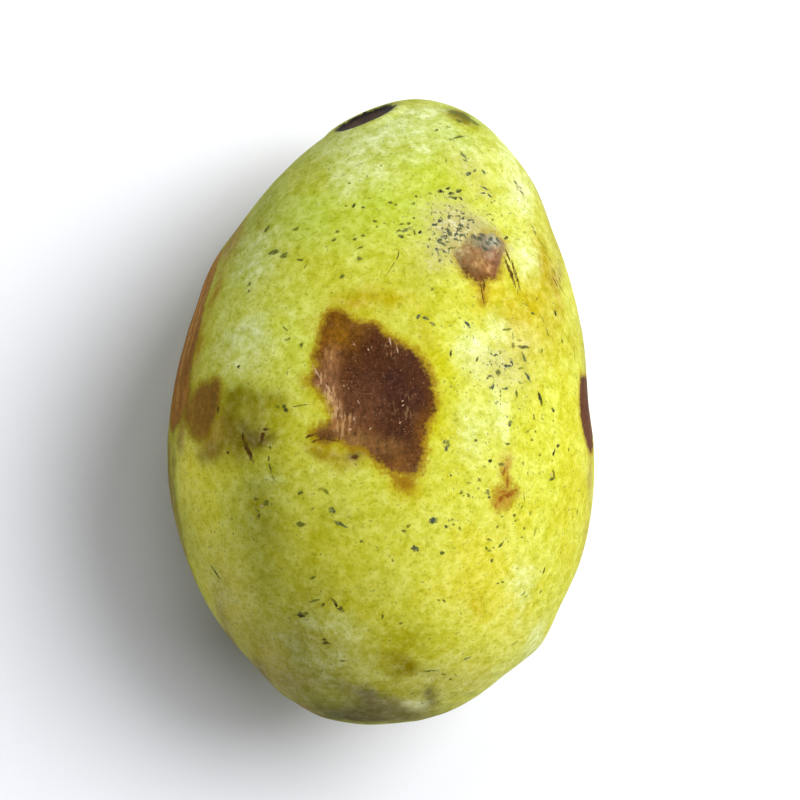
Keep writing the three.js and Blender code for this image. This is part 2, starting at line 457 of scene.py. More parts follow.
WRINKLE_HEIGHT = 0.1 * MM
WRINKLE_CELLS = np.array([7.0, 1.6, 7.0])
WRINKLED = (34, 50)  # millimetres from the middle where wrinkles start and where they are full
near_blossom = smooth_step(-along_mm, *WRINKLED)
folds = 1 - 2 * np.abs(lattice_noise(plain / WRINKLE_CELLS, MM, 61))
relief += WRINKLE_HEIGHT * near_blossom * folds

skin_points = plain + outward * (lift + relief)[:, None]
skin_points = turned(turned(skin_points, LEAN, 0, 1), DIP, 1, 2)
low, high = (np.array(corner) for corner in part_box("pawpaw_fruit"))
skin_low, skin_high = skin_points.min(axis=0), skin_points.max(axis=0)
skin_points[:, :2] += ((low + high) / 2 - (skin_low + skin_high) / 2)[:2]
skin_points[:, 2] = np.maximum(skin_points[:, 2] - skin_low[2] - FOOT_DEPTH, 0)

fruit_mesh = bpy.data.meshes.new("pawpaw_skin")
fruit_mesh.from_pydata(skin_points.tolist(), [], ring_faces(ROUND_STEPS, LONG_STEPS))
fruit_mesh.shade_smooth()
pawpaw_skin = bpy.data.objects.new("pawpaw_skin", fruit_mesh)
bpy.context.scene.collection.objects.link(pawpaw_skin)

# -----------------------------------------------------------------------------
# The colour that grew in the skin: yellow-green, greener and waxier at the ends, yellower where it ripened
# first. Broad soft washes lie over one ground colour, then the mustard and olive of old knocks. The pale
# yellow washes low on the left flank are partly the skin's own paler colour and partly painted light on
# that flank.
GROUND = "#b3b53c"
CLOUD_WIDTH = 6 * MM
CLOUD_STRENGTH = 0.35
PATCH_WIDTH = 2.2 * MM
PATCH_STRENGTH = 0.5

# colour, strength, place around and along, length, width, and tilt where it has one
WASHES = (
    ("#a3b05a", 1, -2, 50, 56, 24), ("#b2b657", 0.8, 20, 38, 20, 18, -40),
    ("#a8b942", 0.8, -10, 30, 40, 14, 5), ("#a6b331", 0.8, 4, 38, 9, 14, 20),
    ("#b2bb52", 0.85, -25, 20, 16, 24), ("#959c3e", 0.8, -25, 32, 12, 12),
    # f2ef58, and #f0ea7c and #e3d271 below it: pale yellow low on the left flank, partly painted light
    ("#c0c656", 0.9, -23, 8, 22, 18), ("#bac34a", 0.8, -13, 12, 9, 16), ("#f2ef58", 0.9, -32, -19, 17, 36),
    ("#f0ea7c", 0.95, -27, -31, 15, 16), ("#e3d271", 0.8, -19, -42, 14, 12),
    ("#bcbb40", 0.7, -12, -4, 9, 12), ("#878622", 1, -16.6, -19, 10, 18),
    ("#adaa24", 0.8, -7, -23, 16, 18), ("#a9a628", 0.8, -3, -31, 16, 11),
    ("#989628", 0.45, -9.5, -28, 9, 12), ("#a8a248", 0.7, -6, -40, 15, 11),
    ("#98943e", 0.7, -11, -38, 7, 12), ("#c1bc42", 0.7, 14, -25, 20, 22),
    ("#c3bc46", 0.7, 21, -32, 18, 14), ("#bfb957", 0.7, 17, -43, 16, 8), ("#b5b02b", 0.7, 38, -14, 16, 28),
    ("#b5b52e", 0.6, 30, -4, 14, 26), ("#babd56", 0.85, 15, 3, 12, 20), ("#b2b355", 0.8, 22, 7, 9, 12),
    ("#b4b533", 0.6, 9, -2, 8, 18), ("#a8a434", 0.85, 29, 22, 14, 26), ("#a39e3a", 0.8, 35, 28, 12, 12),
    ("#acaa3f", 0.8, 37, 13, 9, 14), ("#98913d", 0.9, 46, 12, 8, 18), ("#a5a734", 0.7, 4, 20, 8, 10),
    ("#aaa652", 0.85, 9, -45, 26, 9), ("#6c6530", 1, 1, -54, 30, 9), ("#b0a654", 0.7, -10, -45, 8, 7),
    # fdf45c: pale yellow on the left flank, partly painted light
    ("#8f8846", 0.5, -5.5, -45, 9, 7), ("#fdf45c", 0.8, -34, -9, 9, 16), ("#b8ba69", 0.9, 35, -37, 12, 9),
    ("#bcc065", 0.8, 27, -42, 12, 8), ("#8a8a3e", 0.85, 32, 40, 8, 20, 30),
    ("#b8b641", 0.6, -80, 10, 60, 44), ("#abb148", 0.6, 85, -15, 50, 50), ("#b2b85c", 0.6, 70, 30, 30, 30),
    ("#b6b056", 0.6, 60, -40, 24, 24),
)

cloudy = 1 + CLOUD_STRENGTH * lattice_noise(plain, CLOUD_WIDTH, 31)
skin_colours = washed_by_spots(plain_colour(GROUND), WASHES, cloudy)

# mustard and olive bruising that shows through the skin, soft at its edge, in the same order
MUSTARD = (
    ("#a69a08", 1, -1.5, 15.2, 11, 5, 8), ("#a48a0c", 0.9, -4.5, 14.4, 3, 2),
    ("#b0b014", 0.9, 8.6, 6.5, 4.6, 12, 20), ("#b0b014", 0.8, 8.4, -3, 3, 12, 90),
    ("#a8a410", 0.8, 3.8, -14, 4, 4), ("#a8a41c", 0.7, -10.2, 12, 3, 4),
    ("#b9b32e", 0.9, -8.4, -1.2, 2.4, 2.4), ("#8f7a0e", 1.2, -7.4, -7.2, 5.6, 2.6, -10),
    ("#96860f", 0.8, -4.6, -9.4, 4, 2.2), ("#a8923c", 0.7, -2.8, -7.9, 6, 3),
    ("#94780e", 0.8, -10.6, 2.9, 2, 2), ("#543a1c", 1.8, -2.8, -7.6, 2.6, 2.2),
    ("#a69210", 0.9, 4.2, -12.6, 3.4, 3), ("#b6a61c", 0.9, 16, 17.6, 6, 5),
    ("#a79808", 1.1, 24, 15.2, 12, 11, 20), ("#9e8f0f", 0.8, 20.6, 13.2, 3, 2),
    ("#a59a22", 0.8, 28.4, 14, 4, 8), ("#a69f0c", 0.9, 5.8, 10.6, 3.2, 7, 30),
    ("#c2bd74", 0.9, 22.4, 10.6, 4.4, 3.4), ("#98701a", 1, 19.6, -9.4, 1.3, 5),
    ("#a9a028", 0.5, 18.8, -13.4, 5, 4), ("#a9a014", 0.8, 24.4, 29, 2.4, 9, 12),
    ("#a09012", 1.1, 27.5, 24.4, 3.6, 10, 12), ("#8a6808", 1.1, 30.6, 22.2, 3.4, 3.4),
    ("#9c8a1c", 0.8, 31.5, 18.6, 3.2, 8, 12), ("#7f7640", 0.6, 33.6, 23.4, 3, 3),
    ("#7a7050", 0.8, 9, 26.6, 4, 5), ("#857a58", 0.9, 10.6, 27.4, 4, 4, -30),
    ("#8a8468", 0.8, 12.8, 28.6, 6, 2, -8), ("#aca400", 4, 15.3, -29.8, 2.2, 2.9, -12),
    ("#b2a400", 2.2, 14.9, -30, 2, 1.8), ("#7e7304", 0.95, 3.2, -41.6, 5.4, 5.2),
    ("#98940e", 0.9, 4.2, -36.8, 7, 5), ("#5a4a0c", 1.1, 6.9, 53.5, 6.4, 3.6, -30),
    ("#aab210", 1, 8.6, 50.4, 7, 3.6, -10), ("#746a14", 0.9, 7.4, 52.2, 7, 3, -30),
    ("#9c9c2c", 0.7, 4.4, 52.6, 3, 3), ("#7f7d0a", 1, -21.4, 0.6, 11, 5.6, -8),
    ("#8c8410", 0.8, -16.6, -1.4, 5, 4), ("#7e7208", 0.95, -22, -2.4, 11, 6),
    ("#6f5a0c", 0.9, -23.3, -6, 4.4, 3.2), ("#7d6a0e", 0.9, -24.4, -3.2, 4, 3.4),
    ("#a5842a", 0.9, -28.6, -5.2, 8, 5), ("#8a6d18", 0.9, -27.4, -7.8, 6, 3),
    ("#b5a44c", 0.8, -26, -5.4, 2, 2), ("#8a7c22", 0.7, -23, -7, 7, 4.6),
    ("#62520a", 1.05, -18.7, -5.6, 6, 5, 20), ("#6b5f10", 0.9, -16.6, -4.6, 3.6, 2.4),
    ("#9c9a18", 0.8, -14.6, -2.8, 4, 5, 40), ("#8a681c", 1.2, -35.8, -0.6, 4, 8, -10),
    ("#a5862c", 0.9, -37.6, -4, 3, 5, -10), ("#bd9f48", 0.9, -36.6, -3.6, 1.4, 4, -10),
    ("#9c8038", 0.9, -37.6, 1.8, 2, 4, -10), ("#b5a24c", 0.8, -38.6, -4.6, 2.4, 3),
    ("#a38a42", 0.8, -32.5, 27, 8, 9, 20), ("#a58c28", 0.9, -32, 18.6, 3.4, 8, 10),
    ("#ab8e1c", 0.9, -33.4, 9.4, 3, 9, 4), ("#937038", 0.8, -37, 31, 9, 10),
    ("#80682a", 0.8, -46.6, -12, 5, 20, 4), ("#84702c", 0.7, -45, -30, 5, 14, -8),
    ("#94792c", 0.8, -49, -20, 7, 26), ("#7c6032", 0.9, -34, -39, 7, 16, -30),
    ("#86683c", 0.8, -27, -46, 8, 8, -30), ("#8a7c28", 0.8, -42.2, -14, 3, 22, -4),
    ("#b8a870", 0.7, -16, -47.6, 9, 6, -20), ("#8f7748", 0.6, -23, -43.6, 7, 4, -30),
    ("#8f8034", 0.8, 45, -8, 4, 6), ("#a07a40", 0.9, -17, -53, 10, 4, -20),
    ("#7b7242", 1, -1.4, -48.6, 8, 3.6, -38), ("#6b603a", 1, 1, -51, 9, 4.6, -48),
    ("#60561e", 1, -2, -55.4, 16, 4), ("#767034", 0.9, 3, -54.2, 4, 3),
    ("#bcb888", 0.95, 6, -51.2, 6, 3.2, -12), ("#5c5034", 1.1, 8.2, -48.6, 2.8, 4.6),
    ("#aca626", 0.5, 18.6, -16.5, 4, 4), ("#9fa234", 0.6, -6, -17.6, 6, 4),
    ("#ac8238", 1, 46, 27, 8, 18, 10), ("#b08444", 1, 36, 36, 5, 11, 40), ("#a49c3c", 0.7, 46, -16, 6, 16),
    ("#8d6b34", 0.6, -56, 6, 12, 40), ("#8a7c22", 0.7, 70, -20, 16, 10, 30),
    ("#8f8620", 0.7, -75, -25, 18, 12, -20), ("#948a28", 0.6, 60, 30, 14, 10, 10),
    ("#86802a", 0.6, -70, 24, 12, 10),
)
patchy = 1 + PATCH_STRENGTH * lattice_noise(plain, PATCH_WIDTH, 41)
skin_colours = washed_by_spots(skin_colours, MUSTARD, patchy)

# the wax bloom, a pale film: thick at the stem end, in clouds elsewhere, thin where the skin ripened or was
# rubbed. Strength, place, length, width, tilt
WAX = (
    (0.45, -16.2, -11.4, 8, 6, 30), (0.75, -3, 46, 34, 13), (0.75, -6, 38, 14, 10, 20),
    (1, 21, 46, 12, 12), (1, 22, 37, 10, 13), (0.9, 23.5, 25, 7, 11, 20), (0.8, -22, 24, 14, 12),
    (0.8, -1, 54, 12, 5), (0.8, 17.5, 12, 5, 6), (0.9, 14, 8, 6, 8), (0.9, 13.4, -4, 7, 10),
    (0.8, 18, -1, 5, 9), (0.9, -22, 9, 14, 10, 20), (0.4, -15, 14, 7, 5), (0.55, -10, -41, 20, 14),
    (0.6, -8, -34, 14, 8, -20), (0.5, 6, -51, 7, 4), (0.7, 24, -28, 8, 12), (0.9, 33, -37, 8, 8),
    (0.5, -85, 20, 40, 30), (0.4, 75, -10, 40, 40),
)
WAX_COLOUR = "#c2ce96"
WAX_COVER = 0.7
THIN_WAX = 0.2
wax = strongest(WAX, THIN_WAX, patchy)
skin_colours = wash(skin_colours, WAX_COLOUR, WAX_COVER * (wax - THIN_WAX))

# where the skin is peppered with fine specks, and first how densely
PEPPERED = (
    (0.7, 18, 4, 18, 16), (0.55, 4, 28, 18, 10), (0.5, 9, 34, 14, 10), (0.5, 18, 34, 14, 14),
    (0.55, 20, -14, 26, 22), (0.5, 14, 24, 16, 14), (0.4, -8, 44, 20, 14), (0.4, 8, -44, 26, 10),
    (0.3, -18, -16, 18, 12), (0.4, 60, 0, 50, 60), (0.3, -70, -10, 40, 50),
)
LEAST_SPECKS = 0.12
speck_density = np.full(len(plain), LEAST_SPECKS)
for density, *spot in PEPPERED:
    speck_density += density * soft_spot(*spot)

# scurf, where rubbed skin has dried to pale beige flakes with slate-grey cracks between, laid like the wax
SCURF = (
    (1.1, 8.6, 28.8, 7, 9, 30), (0.85, 10.8, 29.4, 6.4, 5), (0.4, 15.6, 28.4, 7, 1.6, -10),
    (0.5, 12, 27.8, 5, 2), (0.8, 7.2, 25, 5.4, 5.4), (0.6, 9.8, 32.6, 3, 4, 10), (0.5, 7.6, 34.6, 5, 2),
    (0.6, 7.4, 22.6, 6, 4), (0.45, 19, 25.4, 3, 5), (0.4, 9.6, 40.2, 5, 7, 30),
    (0.3, 12.6, 39.6, 2.4, 2.4), (0.35, 13.4, 36, 5, 3, -20), (0.5, 21.2, 38, 6, 4, -40),
    (0.6, 18.4, 6.2, 9, 6), (0.6, 17.2, 4.4, 3, 4), (0.35, 22.4, 9.8, 6, 3), (0.25, 22.8, 6.6, 3, 6, 20),
    (0.8, 66, 34, 10, 14, 20), (0.7, -62, 16, 14, 8, -30), (0.6, 90, -18, 8, 14),
)
scurf = strongest(SCURF, 0.0)

# where a bruise was scraped down to paler fibres, laid the same way
SCRAPES = (
    (1, -8.6, 3.6, 1.8, 5, 30), (1, -7, 0.8, 2, 6, 32), (1, -5.4, -2.4, 3, 5, 38),
    (0.8, -5.4, -4.6, 4, 2.4), (0.6, -7.4, 6.2, 2.4, 3), (0.35, 3.4, -1.6, 4, 6), (0.4, 1.4, 8.6, 3, 3),
    (0.6, 13.8, 22.6, 3.4, 4), (0.7, -37.6, 14, 3, 16, 5), (0.7, -41, 9, 3, 16, 5), (0.7, -37.4, 2, 2, 6),
    (1, 16.6, 25.6, 2.4, 2.4), (0.8, 15.8, 21.4, 1.8, 2.4),
)
scraped = strongest(SCRAPES, 0.0)


def store(name, kind, domain, values):
    """A named attribute of the skin's mesh, of a kind and domain, filled with values."""
    attribute = fruit_mesh.attributes.new(name, kind, domain)
    key = {"FLOAT_VECTOR": "vector", "FLOAT_COLOR": "color"}[kind]
    attribute.data.foreach_set(key, np.ascontiguousarray(values, np.float32).ravel())


bareness = 2 * bruise_cover - 2
store("skin_colour", "FLOAT_COLOR", "POINT", np.column_stack([skin_colours, np.ones(len(plain))]))
store("bruise_colour", "FLOAT_COLOR", "POINT", np.column_stack([bruise_colours, bruise_fringe]))
store("bruise_marks", "FLOAT_VECTOR", "POINT", np.column_stack([bruise_depth, bareness, scraped]))
store("skin_marks", "FLOAT_VECTOR", "POINT", np.column_stack([wax, scurf, speck_density]))

# -----------------------------------------------------------------------------
# The flecks: chips, punctures and scratches in the skin, dark and dry, and pale specks, most in the
# bruises, that are painted glints of light.
# Each is a small ellipse. Every face knows its nearest fleck, and its corners carry where they lie in that
# fleck and how slim it is, so that a fleck is drawn sharper than the mesh.

# colour, then each fleck's place around and along, length, width, and tilt where it has one
FLECKS = (
    ("#282b1a", (
        (6.2, 34.8, 1, 0.7), (7, 35.5, 0.8, 0.4, 30), (7.7, 34.6, 1, 0.6), (8.1, 33.9, 1.2, 0.6),
        (8.8, 35.2, 1.2, 0.5, 30), (9.2, 33.8, 0.9, 0.35, -45), (2.4, 32.2, 0.6, 0.5, 60),
        (2.6, 33.6, 0.4, 0.4), (-4.6, 31.3, 0.55, 0.5), (-6, 31.7, 0.6, 0.4, 70),
        (1.4, 26.2, 0.8, 0.5, -20), (3.9, 27.1, 0.8, 0.4, 50), (18.2, 27.6, 0.8, 0.5, 40),
        (25.3, 29.6, 0.9, 0.35, -60), (22.3, 9.6, 2.3, 0.45, 3), (20.2, 9.7, 0.5, 0.7),
        (17.6, 5.2, 0.9, 0.7, 60), (26, 1.9, 2.1, 0.6, -65), (29.1, 0.4, 0.9, 0.6, -45),
        (24.6, -1, 0.8, 0.3, 90), (30.5, 15.9, 0.9, 0.5, 90), (14, -5.2, 0.5, 0.4),
        (30.6, -5, 0.7, 0.5, 30), (29.5, -9.2, 1.2, 0.4, 110), (29.2, -10, 1.6, 0.45, 20),
        (29.5, -6, 1.2, 0.4, 65), (16.4, -8, 0.6, 0.5, 30), (28.8, -24.2, 1.2, 0.3, 90),
        (-6.1, -30.4, 1.4, 0.5, -60), (-5.3, -31.5, 1.1, 0.6, -40), (-11.3, -32.6, 1.2, 0.8, 10),
        (-10.5, -32.3, 0.8, 0.4), (-7.6, -36.9, 0.6, 0.5, 60), (-7.4, -37.5, 1, 0.5),
        (-7.8, -30.8, 0.8, 0.35, 50), (-22.3, 5.3, 0.6, 0.5, 30), (-13.6, -1.2, 1.1, 0.8, -50),
        (9.9, 7.7, 1.1, 0.35, 85), (9.6, -18.1, 0.6, 0.5),
    )),
    ("#3b4434", (
        (8.6, 42.7, 1.6, 0.5, -65), (9, 41.6, 0.8, 0.4, -30), (10, 38.8, 1.2, 0.5, 40),
        (10.8, 39.6, 0.8, 0.4, 50), (12.5, 39.6, 0.9, 0.5, -60), (13.2, 36.3, 1.3, 0.3, -20),
        (13, 35.3, 0.9, 0.3, 10), (14.2, 35, 0.7, 0.4, -40), (20.3, 38.8, 0.8, 0.5, -40),
        (21, 38, 0.6, 0.4), (22, 37, 0.9, 0.4, -50), (15.4, 27.1, 1, 0.7, 20), (16.4, 26.4, 0.9, 0.5, -40),
        (13.6, 27.6, 0.9, 0.5), (6, 12.9, 0.9, 0.5, -20), (4.9, 13.1, 0.7, 0.5, 40),
        (7, 12.1, 0.9, 0.4, -35), (12.2, 12.3, 1.3, 0.4, -50), (17.1, 7.9, 0.8, 0.35, 25),
        (19.4, 6.4, 1.4, 0.5), (20, 6.8, 0.9, 0.4, 80), (16.6, 3, 0.9, 0.6, 45),
        (16.2, 4.6, 0.9, 0.35, 20), (22.4, 8, 1.6, 0.5, -70), (23.3, 5, 1.6, 0.5, -50),
        (9.6, -6.2, 1.7, 0.6, 80), (9.3, -5.6, 0.8, 0.5, 50), (19.9, -2.3, 0.8, 0.6, 60),
        (16, -12.7, 0.7, 0.6), (16.3, -13.4, 0.5, 0.4), (-6.4, -16.2, 1, 0.7, -20),
        (-5.2, -18.2, 2, 0.45, -25), (7.7, -17.3, 1.2, 0.8), (5.1, -21.6, 0.9, 0.8),
        (6, 28.6, 0.8, 0.4, 20), (13.3, 26.9, 1.2, 0.6, 10), (15, 26.5, 1, 0.6, 30),
        (12.2, 27.1, 1, 0.6, -20), (16.8, 27, 1, 0.5, -40), (14.4, 25.4, 1.2, 0.5, -30),
        (6.6, 29.3, 0.9, 0.5, 40), (6.9, 25.9, 0.9, 0.5, 60), (7.6, 25.2, 0.9, 0.4, -30),
        (1.8, 27.3, 0.9, 0.5, 30), (13.9, -39.8, 1.2, 0.45, 35), (18.9, 2.9, 1, 0.3, 20),
    )),
    ("#545a1e", (
        (6.9, 46.9, 3.2, 0.45, 25), (5.9, 41.1, 0.8, 0.3, 80), (-7.2, 31.6, 0.4, 0.3), (-4, 33, 0.45, 0.3),
        (-0.9, 32.3, 0.5, 0.35), (0, 31.9, 0.4, 0.3), (1.2, 28.4, 0.6, 0.35), (2.2, 28.6, 0.5, 0.35, 40),
        (0.9, 27.2, 0.7, 0.4, 20), (2.4, 26.6, 0.5, 0.3), (3.2, 27, 0.8, 0.35, 90), (2.8, 29.6, 0.5, 0.3),
        (-2.6, 28.8, 0.6, 0.4), (-1.2, 28.4, 0.5, 0.3), (-2.2, 27.8, 0.3, 0.3), (-7.9, 27, 0.6, 0.45),
        (-8.2, 25.5, 0.7, 0.4, 20), (-5.1, 25.6, 0.5, 0.4), (-4, 26.2, 0.6, 0.4),
        (-4.2, 24.1, 0.9, 0.3, 20), (-14.9, 27.7, 1, 0.5, 10), (-13.1, 22.2, 1, 0.4),
        (-12.1, 21, 0.6, 0.35, 45), (-21, 28.3, 1.1, 0.7, 60), (-16.2, 23.2, 1.3, 0.8, 30),
        (-18.4, 23.8, 2, 0.7, 10), (1.3, 22.9, 1.5, 0.22, 80), (0.5, 20.8, 3, 0.12, 62),
        (-6.2, 19.3, 0.8, 0.6), (-7.6, 16.6, 0.3, 0.3), (-4.1, 22.3, 0.9, 0.6), (6.6, 17.6, 0.6, 0.4, 60),
        (8.2, 25.7, 0.6, 0.3), (8.6, 24.6, 0.7, 0.3, 30), (5.4, 25.9, 0.6, 0.3, 80),
        (14.8, 31.4, 0.5, 0.35), (15.2, 30.5, 0.5, 0.3, 40), (19, 12.1, 1.7, 0.3, 12),
        (20.1, 11, 1.8, 0.15, 90), (21.4, 10.6, 0.9, 0.25), (14, 7, 0.9, 0.3, 60), (13, 4.9, 0.3, 0.3),
        (16.3, 8, 0.6, 0.2, -40), (17.9, 8.3, 0.6, 0.2, 50), (15.8, 4.3, 0.5, 0.3, 60),
        (18, 2.4, 0.4, 0.25, 90), (18, 1.8, 0.4, 0.22, 90), (18, 1.2, 0.4, 0.22, 90),
        (18, 0.5, 0.4, 0.2, 90), (21, 2.3, 1, 0.4, 100), (21.8, 6.2, 1, 0.3, 10),
        (27.9, 12.6, 1.5, 0.25, -70), (26.4, 9.3, 0.9, 0.4, 60), (32.3, 11.5, 0.7, 0.4, 90),
        (24.2, 15.2, 0.8, 0.4), (37, 10, 1.5, 0.3, 90), (24.2, -4.5, 0.5, 0.4), (25, -3.2, 0.4, 0.3),
        (29.2, -1.3, 0.4, 0.3), (19.5, -5.4, 0.8, 0.4), (29, -7.3, 0.4, 0.3), (33.8, -5.3, 0.5, 0.35, 90),
        (26, -6.7, 0.5, 0.35), (18.3, -8.5, 0.7, 0.5), (14.6, -11, 0.5, 0.35, 20), (13, -11.5, 0.6, 0.4),
        (11.8, -13, 0.5, 0.45), (12.9, -13.3, 0.5, 0.4, -30), (10.2, -10.5, 0.3, 0.3),
        (22.8, -13, 1.4, 0.22, -70), (22.4, -14.6, 0.5, 0.35, 70), (38.4, -14.6, 0.9, 0.4, 90),
        (20.9, -16, 0.5, 0.4), (21.2, -16.8, 0.5, 0.3), (24.3, -15.5, 0.5, 0.35, 90),
        (18.6, -16.2, 0.4, 0.3), (17.8, -17.8, 0.5, 0.4), (11.6, -18.3, 0.6, 0.35, 90),
        (16.4, -19.8, 0.9, 0.25), (18.5, -20.5, 1.1, 0.35, 50), (16, -21.2, 0.7, 0.35, -60),
        (16.6, -21.5, 0.7, 0.35, 10), (17.2, -21, 0.4, 0.3), (17, -23, 0.6, 0.4, 60),
        (25.5, -18.3, 1.1, 0.3, 85), (23, -17.8, 0.4, 0.3), (28.9, -27.5, 0.8, 0.3, 60),
        (24, -28, 0.9, 0.35, 65), (24.8, -28.4, 0.5, 0.35), (18.4, -26.5, 0.5, 0.3),
        (19.1, -26.3, 0.5, 0.3), (9, -22.1, 0.7, 0.5), (4.1, -18.2, 0.7, 0.35, 40), (3.6, -19, 0.6, 0.5),
        (10.5, -17, 0.4, 0.4), (10.6, -17.7, 0.3, 0.3), (-2.3, -20.7, 0.6, 0.35),
        (-9, -30.2, 1.6, 0.4, 15), (-5, -40.9, 0.8, 0.35), (9.3, -29.6, 0.7, 0.3, -50),
        (8.5, -29.5, 0.5, 0.2), (0.6, -32.5, 0.6, 0.4, 90), (3.1, -33.6, 0.6, 0.35, 20),
        (7.7, -42.5, 1.9, 0.3, 12), (9.9, -43.1, 0.9, 0.25, -20), (11.2, -44.2, 0.5, 0.4),
        (24.5, -36.7, 1.3, 0.35, 50), (-16.6, -15.2, 1, 0.7), (-18.3, -14.6, 0.8, 0.4),
        (-17.9, -17.2, 0.8, 0.5, 60), (-18.1, -16.4, 0.9, 0.25, -40), (-15.8, -10.2, 1.8, 0.3, -75),
        (-15.3, -11.5, 1.2, 0.22, -55), (-9.3, -26.5, 0.9, 0.4, 20), (-11, -13.7, 0.8, 0.6),
        (-7.5, -13.3, 1.4, 0.5, -30), (-11, -18.3, 1.6, 0.6), (-29, -25.8, 2.6, 0.35, -60),
        (-13.8, 9.3, 0.9, 0.45, 10), (-14.3, 11, 1.2, 0.3, -40), (-11.5, 8.4, 0.7, 0.5, 60),
        (-22.3, 18.6, 0.7, 0.5, 60), (-22, 17.4, 0.6, 0.5), (-11.2, -0.8, 2.6, 0.18, 8),
        (-14.7, -1, 0.6, 0.5), (-15.9, -7, 0.5, 0.5), (-16.1, -8.7, 0.8, 0.35, 90), (-7.4, 36, 0.5, 0.3),
        (25.2, 30.2, 2.2, 0.22, -48), (27.4, 27.9, 2.8, 0.25, -46), (29.4, 25.6, 2.2, 0.2, -50),
        (33.2, 21, 2.6, 0.25, -50), (31.2, 23.2, 1.8, 0.25, -54), (22.6, 16.4, 1.6, 0.16, -20),
        (25.4, 17.8, 1.4, 0.16, 40), (26.6, 14.6, 1.8, 0.16, -60), (21, 18.6, 1.2, 0.16, 70),
        (3.4, 48.3, 0.8, 0.4, 40), (5.2, 49.4, 0.6, 0.3), (5.8, 54.2, 2.2, 1.6, -30),
        (7.8, 53.4, 3, 2, -30), (9.8, 52.2, 2, 1.3, -30), (6.6, 51.6, 1.2, 0.8),
    )),
    ("#4b300f", (
        (-19.8, -7.4, 3.6, 0.8, -62), (-20.8, -5.4, 1.4, 0.4, 100), (-17.2, -5.4, 1.8, 0.6, 70),
        (-16.6, -4.3, 1.2, 0.4), (-26.3, -1.2, 1, 0.5, 90), (-23.8, -7.7, 0.6, 0.4),
        (19.5, 21.6, 5, 0.6, -78), (20.5, 21.4, 4.6, 0.55, -84), (18.9, 24.4, 2.2, 0.3, -77),
        (18.9, 22.6, 2, 0.25, -80), (-9.6, -5.3, 1.6, 0.35, 15), (-3.3, -8.3, 1, 0.6, 10),
        (7.6, -1.1, 0.9, 0.5, 20), (14.4, 17.4, 3.2, 0.22, -86), (14.6, 19, 1.8, 0.3, 80),
        (-7.6, -5.7, 3.6, 0.3, -8), (-8.8, -6, 1.4, 0.3, 20), (31.4, 21.4, 1.4, 0.4, -60),
        (33.4, 22.2, 1.2, 0.3, -70),
    )),
    ("#784410", (
        (19.5, -10.9, 2.2, 0.4, 92), (18.8, -9.6, 1.2, 0.3, 70), (19.9, -12.8, 2.2, 0.8, 22),
        (21, -12.2, 0.8, 0.4), (18.4, -13.6, 1.3, 0.6, 48), (17.6, -14.5, 0.8, 0.4, 60),
        (18.7, -12.5, 1.2, 0.3, 10),
    )),
    # pale specks, most in the bruises: painted glints of light, drawn as flecks
    ("#ab8e72", (
        (1.1, 9.2, 1.1, 0.26, 100), (2.2, 8, 1.19, 0.15, -75), (-3.8, 8.6, 0.26, 0.22),
        (-1.8, 7.8, 0.38, 0.15, -60), (-1.4, 8.2, 0.19, 0.19), (-8.9, 4, 1.44, 0.22, -60),
        (-7.2, 1.7, 2.04, 0.15, -52), (-3.5, -2.7, 0.6, 0.24, 100), (-4, -4.3, 0.38, 0.3),
        (-1.2, -4.1, 0.3, 0.19, 60), (3.2, 0.2, 0.26, 0.19), (3.3, -0.5, 0.34, 0.17, 40),
        (2.9, -3.1, 0.3, 0.19, 40), (-5.2, -2.4, 0.45, 0.15, 100), (-5.9, -1.2, 0.45, 0.17, 100),
        (-2.9, -0.2, 0.6, 0.15, -60), (-4.4, 1.8, 0.22, 0.19), (-5, 2.2, 0.26, 0.19),
        (6.4, -47.6, 0.38, 0.3), (-17.4, -15.7, 0.68, 0.26, 10), (9.6, -47.2, 0.52, 0.3),
        (7.7, 35, 0.52, 0.22, 10), (16.8, 27, 0.6, 0.3, -30), (28.9, -9.4, 0.38, 0.38),
    )),
)


def read(items, key):
    """The whole number that each of the mesh's corners or faces holds under a key, in one array."""
    numbers = np.empty(len(items), np.int32)
    items.foreach_get(key, numbers)
    return numbers


corner_vertex = read(fruit_mesh.loops, "vertex_index")
face_start = read(fruit_mesh.polygons, "loop_start")
face_size = read(fruit_mesh.polygons, "loop_total")
plain_mm = plain / MM
face_centre = np.add.reduceat(plain_mm[corner_vertex], face_start) / face_size[:, None]


def seated(across, up, length, width, tilt=0):
    """A fleck's centre, the directions of its length and width, and half of each, all in millimetres. The
    centre is the skin point nearest to its place, moved the rest of the way along the skin there."""
    seat = np.argmin((around_mm - across) ** 2 + (along_mm - up) ** 2)
    forwards = np.array([0, 1, 0]) - outward[seat] * outward[seat, 1]
    forwards /= np.linalg.norm(forwards)
    sideways = np.cross(forwards, outward[seat])
    centre = plain_mm[seat] + sideways * (across - around_mm[seat]) + forwards * (up - along_mm[seat])
    angle = np.radians(tilt)
    lengthways = sideways * np.cos(angle) + forwards * np.sin(angle)
    widthways = forwards * np.cos(angle) - sideways * np.sin(angle)
    return centre, np.stack([lengthways, widthways], axis=1), np.array([length, width]) / 2


nearest_rim = np.full(len(face_centre), np.inf)
face_fleck = np.zeros(len(face_centre), np.int32)
fleck_centres, fleck_axes, fleck_reaches, fleck_colours = [], [], [], []
for colour, flecks in FLECKS:
    for fleck in flecks:
        centre, axes, reach = seated(*fleck)
        # the way to the rim is the way to the middle, less the share of it inside the ellipse
        offset = face_centre - centre
        inside_share = 1 / np.maximum(np.linalg.norm(offset @ axes / reach, axis=1), TINY)
        rim = np.linalg.norm(offset, axis=1) * (1 - inside_share)
        closer = rim < nearest_rim
        nearest_rim[closer] = rim[closer]
        face_fleck[closer] = len(fleck_centres)
        fleck_centres.append(centre)
        fleck_axes.append(axes)
        fleck_reaches.append(reach)
        fleck_colours.append((*linear(colour), 1))

